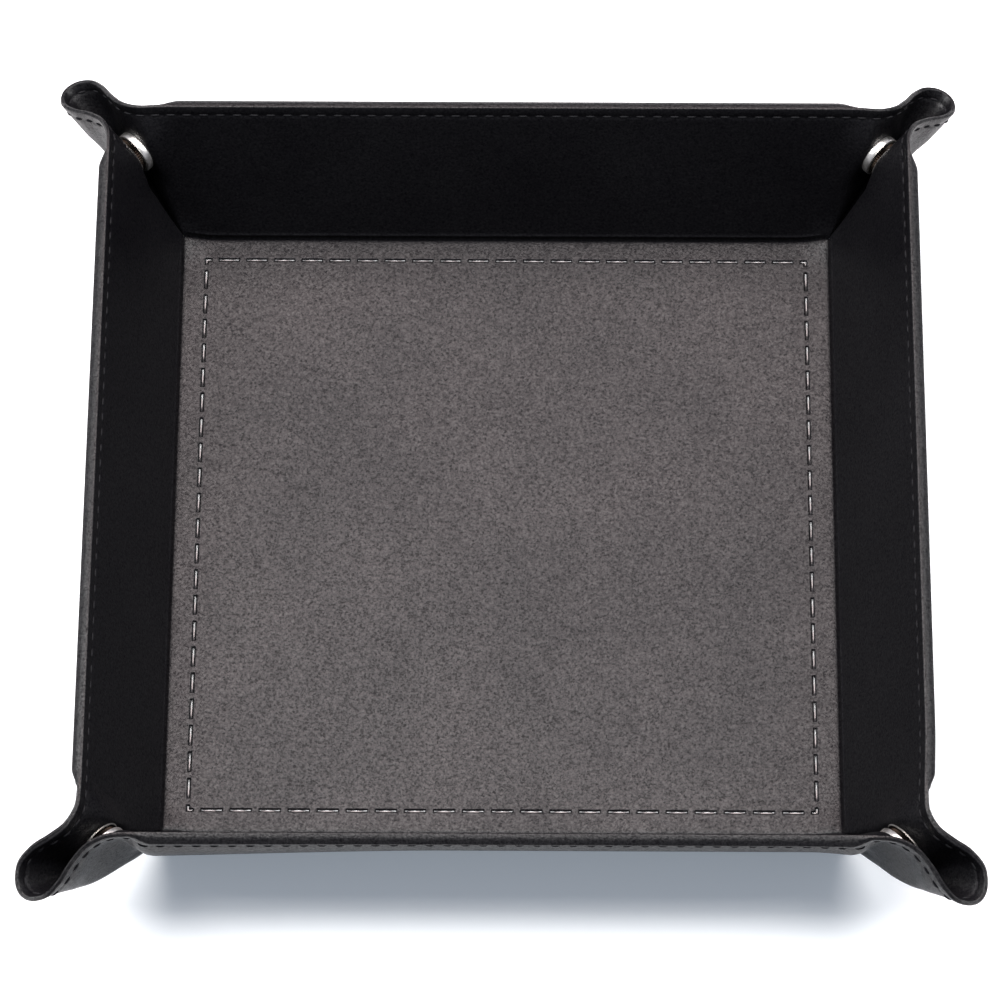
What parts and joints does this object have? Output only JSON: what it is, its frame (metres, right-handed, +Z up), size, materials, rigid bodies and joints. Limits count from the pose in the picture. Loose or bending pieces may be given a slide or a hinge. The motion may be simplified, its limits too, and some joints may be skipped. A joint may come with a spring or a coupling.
{
  "type": "folding dice tray",
  "caption": "Square leather tray whose soft corners are pinched into ears by concealed snap fasteners; unsnapped, it opens flat.",
  "frame": {"origin": "middle of the underside, on the table", "axes": "+Z up out of the tray, +Y towards the back wall, +X towards the right wall"},
  "size_m": [0.2352, 0.2352, 0.0415],
  "materials": {
    "outer_leather": "semi-matt black, fine pebble grain",
    "inner_leather": "semi-matt black, fine pebble grain",
    "board": "plain grey board, sealed inside",
    "snap_metal": "bright nickel plate",
    "backing_plate": "plain nickel plate, sealed inside"
  },
  "bodies": {
    "back_left_ear_end": {"back_left_ear_end_leather": "outer_leather", "back_left_snap_end_plate": "backing_plate", "back_left_snap_socket": "snap_metal"},
    "back_left_ear_end_lip": {"back_left_ear_end_lip": "outer_leather"},
    "back_left_ear_side": {"back_left_ear_side_leather": "outer_leather", "back_left_snap_side_plate": "backing_plate", "back_left_snap_stud": "snap_metal"},
    "back_left_ear_side_lip": {"back_left_ear_side_lip": "outer_leather"},
    "back_right_ear_end": {"back_right_ear_end_leather": "outer_leather", "back_right_snap_end_plate": "backing_plate", "back_right_snap_socket": "snap_metal"},
    "back_right_ear_end_lip": {"back_right_ear_end_lip": "outer_leather"},
    "back_right_ear_side": {"back_right_ear_side_leather": "outer_leather", "back_right_snap_side_plate": "backing_plate", "back_right_snap_stud": "snap_metal"},
    "back_right_ear_side_lip": {"back_right_ear_side_lip": "outer_leather"},
    "back_wall": {"back_left_ear_end_gusset": "outer_leather", "back_right_ear_end_gusset": "outer_leather", "back_wall_board": "board", "back_wall_cover": "outer_leather", "back_wall_liner": "inner_leather"},
    "floor": {"floor_board": "board", "floor_cover": "outer_leather", "floor_liner": "inner_leather"},
    "front_left_ear_end": {"front_left_ear_end_leather": "outer_leather", "front_left_snap_end_plate": "backing_plate", "front_left_snap_socket": "snap_metal"},
    "front_left_ear_end_lip": {"front_left_ear_end_lip": "outer_leather"},
    "front_left_ear_side": {"front_left_ear_side_leather": "outer_leather", "front_left_snap_side_plate": "backing_plate", "front_left_snap_stud": "snap_metal"},
    "front_left_ear_side_lip": {"front_left_ear_side_lip": "outer_leather"},
    "front_right_ear_end": {"front_right_ear_end_leather": "outer_leather", "front_right_snap_end_plate": "backing_plate", "front_right_snap_socket": "snap_metal"},
    "front_right_ear_end_lip": {"front_right_ear_end_lip": "outer_leather"},
    "front_right_ear_side": {"front_right_ear_side_leather": "outer_leather", "front_right_snap_side_plate": "backing_plate", "front_right_snap_stud": "snap_metal"},
    "front_right_ear_side_lip": {"front_right_ear_side_lip": "outer_leather"},
    "front_wall": {"front_left_ear_end_gusset": "outer_leather", "front_right_ear_end_gusset": "outer_leather", "front_wall_board": "board", "front_wall_cover": "outer_leather", "front_wall_liner": "inner_leather"},
    "left_wall": {"back_left_ear_side_gusset": "outer_leather", "front_left_ear_side_gusset": "outer_leather", "left_wall_board": "board", "left_wall_cover": "outer_leather", "left_wall_liner": "inner_leather"},
    "right_wall": {"back_right_ear_side_gusset": "outer_leather", "front_right_ear_side_gusset": "outer_leather", "right_wall_board": "board", "right_wall_cover": "outer_leather", "right_wall_liner": "inner_leather"}
  },
  "joints": [
    {"name": "right_fold", "type": "hinge", "parent": "floor", "child": "right_wall", "pos_m": [0.0845, 0, 0.00265], "axis": [0, 1, 0], "range_deg": [0, 66.05]},
    {"name": "back_fold", "type": "hinge", "parent": "floor", "child": "back_wall", "pos_m": [0, 0.0845, 0.00265], "axis": [-1, 0, 0], "range_deg": [0, 66.05]},
    {"name": "left_fold", "type": "hinge", "parent": "floor", "child": "left_wall", "pos_m": [-0.0845, 0, 0.00265], "axis": [0, -1, 0], "range_deg": [0, 66.05]},
    {"name": "front_fold", "type": "hinge", "parent": "floor", "child": "front_wall", "pos_m": [0, -0.0845, 0.00265], "axis": [1, 0, 0], "range_deg": [0, 66]},
    {"name": "back_right_ear_end_fold", "type": "hinge", "parent": "back_wall", "child": "back_right_ear_end", "pos_m": [0.0845, 0.0845, 0.00265], "axis": [-0.3022, -0.4026, -0.864], "range_deg": [0, 53.41]},
    {"name": "back_right_ear_end_lip_fold", "type": "hinge", "parent": "back_right_ear_end", "child": "back_right_ear_end_lip", "pos_m": [0.0845, 0.0845, 0.00265], "axis": [0.523, 0.615, 0.5901], "range_deg": [0, 91.03]},
    {"name": "back_right_ear_side_fold", "type": "hinge", "parent": "right_wall", "child": "back_right_ear_side", "pos_m": [0.0845, 0.0845, 0.00265], "axis": [0.4026, 0.3022, 0.864], "range_deg": [0, 53.41]},
    {"name": "back_right_ear_side_lip_fold", "type": "hinge", "parent": "back_right_ear_side", "child": "back_right_ear_side_lip", "pos_m": [0.0845, 0.0845, 0.00265], "axis": [-0.615, -0.523, -0.5901], "range_deg": [0, 91.03]},
    {"name": "back_left_ear_end_fold", "type": "hinge", "parent": "back_wall", "child": "back_left_ear_end", "pos_m": [-0.0845, 0.0845, 0.00265], "axis": [-0.3022, 0.4026, 0.864], "range_deg": [0, 53.41]},
    {"name": "back_left_ear_end_lip_fold", "type": "hinge", "parent": "back_left_ear_end", "child": "back_left_ear_end_lip", "pos_m": [-0.0845, 0.0845, 0.00265], "axis": [0.523, -0.615, -0.5901], "range_deg": [0, 91.03]},
    {"name": "back_left_ear_side_fold", "type": "hinge", "parent": "left_wall", "child": "back_left_ear_side", "pos_m": [-0.0845, 0.0845, 0.00265], "axis": [0.4026, -0.3022, -0.864], "range_deg": [0, 53.41]},
    {"name": "back_left_ear_side_lip_fold", "type": "hinge", "parent": "back_left_ear_side", "child": "back_left_ear_side_lip", "pos_m": [-0.0845, 0.0845, 0.00265], "axis": [-0.615, 0.523, 0.5901], "range_deg": [0, 91.03]},
    {"name": "front_left_ear_end_fold", "type": "hinge", "parent": "front_wall", "child": "front_left_ear_end", "pos_m": [-0.0845, -0.0845, 0.00265], "axis": [0.3022, 0.4026, -0.864], "range_deg": [0, 53.41]},
    {"name": "front_left_ear_end_lip_fold", "type": "hinge", "parent": "front_left_ear_end", "child": "front_left_ear_end_lip", "pos_m": [-0.0845, -0.0845, 0.00265], "axis": [-0.523, -0.615, 0.5901], "range_deg": [0, 91.03]},
    {"name": "front_left_ear_side_fold", "type": "hinge", "parent": "left_wall", "child": "front_left_ear_side", "pos_m": [-0.0845, -0.0845, 0.00265], "axis": [-0.4026, -0.3022, 0.864], "range_deg": [0, 53.41]},
    {"name": "front_left_ear_side_lip_fold", "type": "hinge", "parent": "front_left_ear_side", "child": "front_left_ear_side_lip", "pos_m": [-0.0845, -0.0845, 0.00265], "axis": [0.615, 0.523, -0.5901], "range_deg": [0, 91.03]},
    {"name": "front_right_ear_end_fold", "type": "hinge", "parent": "front_wall", "child": "front_right_ear_end", "pos_m": [0.0845, -0.0845, 0.00265], "axis": [0.3022, -0.4026, 0.864], "range_deg": [0, 53.41]},
    {"name": "front_right_ear_end_lip_fold", "type": "hinge", "parent": "front_right_ear_end", "child": "front_right_ear_end_lip", "pos_m": [0.0845, -0.0845, 0.00265], "axis": [-0.523, 0.615, -0.5901], "range_deg": [0, 91.03]},
    {"name": "front_right_ear_side_fold", "type": "hinge", "parent": "right_wall", "child": "front_right_ear_side", "pos_m": [0.0845, -0.0845, 0.00265], "axis": [-0.4026, 0.3022, -0.864], "range_deg": [0, 53.41]},
    {"name": "front_right_ear_side_lip_fold", "type": "hinge", "parent": "front_right_ear_side", "child": "front_right_ear_side_lip", "pos_m": [0.0845, -0.0845, 0.00265], "axis": [0.615, -0.523, 0.5901], "range_deg": [0, 91.03]}
  ],
  "couplings": [
    {"joint": "right_fold", "follows": "front_fold", "ratio": 1},
    {"joint": "back_fold", "follows": "front_fold", "ratio": 1},
    {"joint": "left_fold", "follows": "front_fold", "ratio": 1},
    {"joint": "back_right_ear_end_fold", "follows": "front_fold", "ratio": 0.80848},
    {"joint": "back_right_ear_end_lip_fold", "follows": "front_fold", "ratio": 1.3785},
    {"joint": "back_right_ear_side_fold", "follows": "front_fold", "ratio": 0.80848},
    {"joint": "back_right_ear_side_lip_fold", "follows": "front_fold", "ratio": 1.3785},
    {"joint": "back_left_ear_end_fold", "follows": "front_fold", "ratio": 0.80848},
    {"joint": "back_left_ear_end_lip_fold", "follows": "front_fold", "ratio": 1.3785},
    {"joint": "back_left_ear_side_fold", "follows": "front_fold", "ratio": 0.80848},
    {"joint": "back_left_ear_side_lip_fold", "follows": "front_fold", "ratio": 1.3785},
    {"joint": "front_left_ear_end_fold", "follows": "front_fold", "ratio": 0.80848},
    {"joint": "front_left_ear_end_lip_fold", "follows": "front_fold", "ratio": 1.3785},
    {"joint": "front_left_ear_side_fold", "follows": "front_fold", "ratio": 0.80848},
    {"joint": "front_left_ear_side_lip_fold", "follows": "front_fold", "ratio": 1.3785},
    {"joint": "front_right_ear_end_fold", "follows": "front_fold", "ratio": 0.80848},
    {"joint": "front_right_ear_end_lip_fold", "follows": "front_fold", "ratio": 1.3785},
    {"joint": "front_right_ear_side_fold", "follows": "front_fold", "ratio": 0.80848},
    {"joint": "front_right_ear_side_lip_fold", "follows": "front_fold", "ratio": 1.3785}
  ]
}
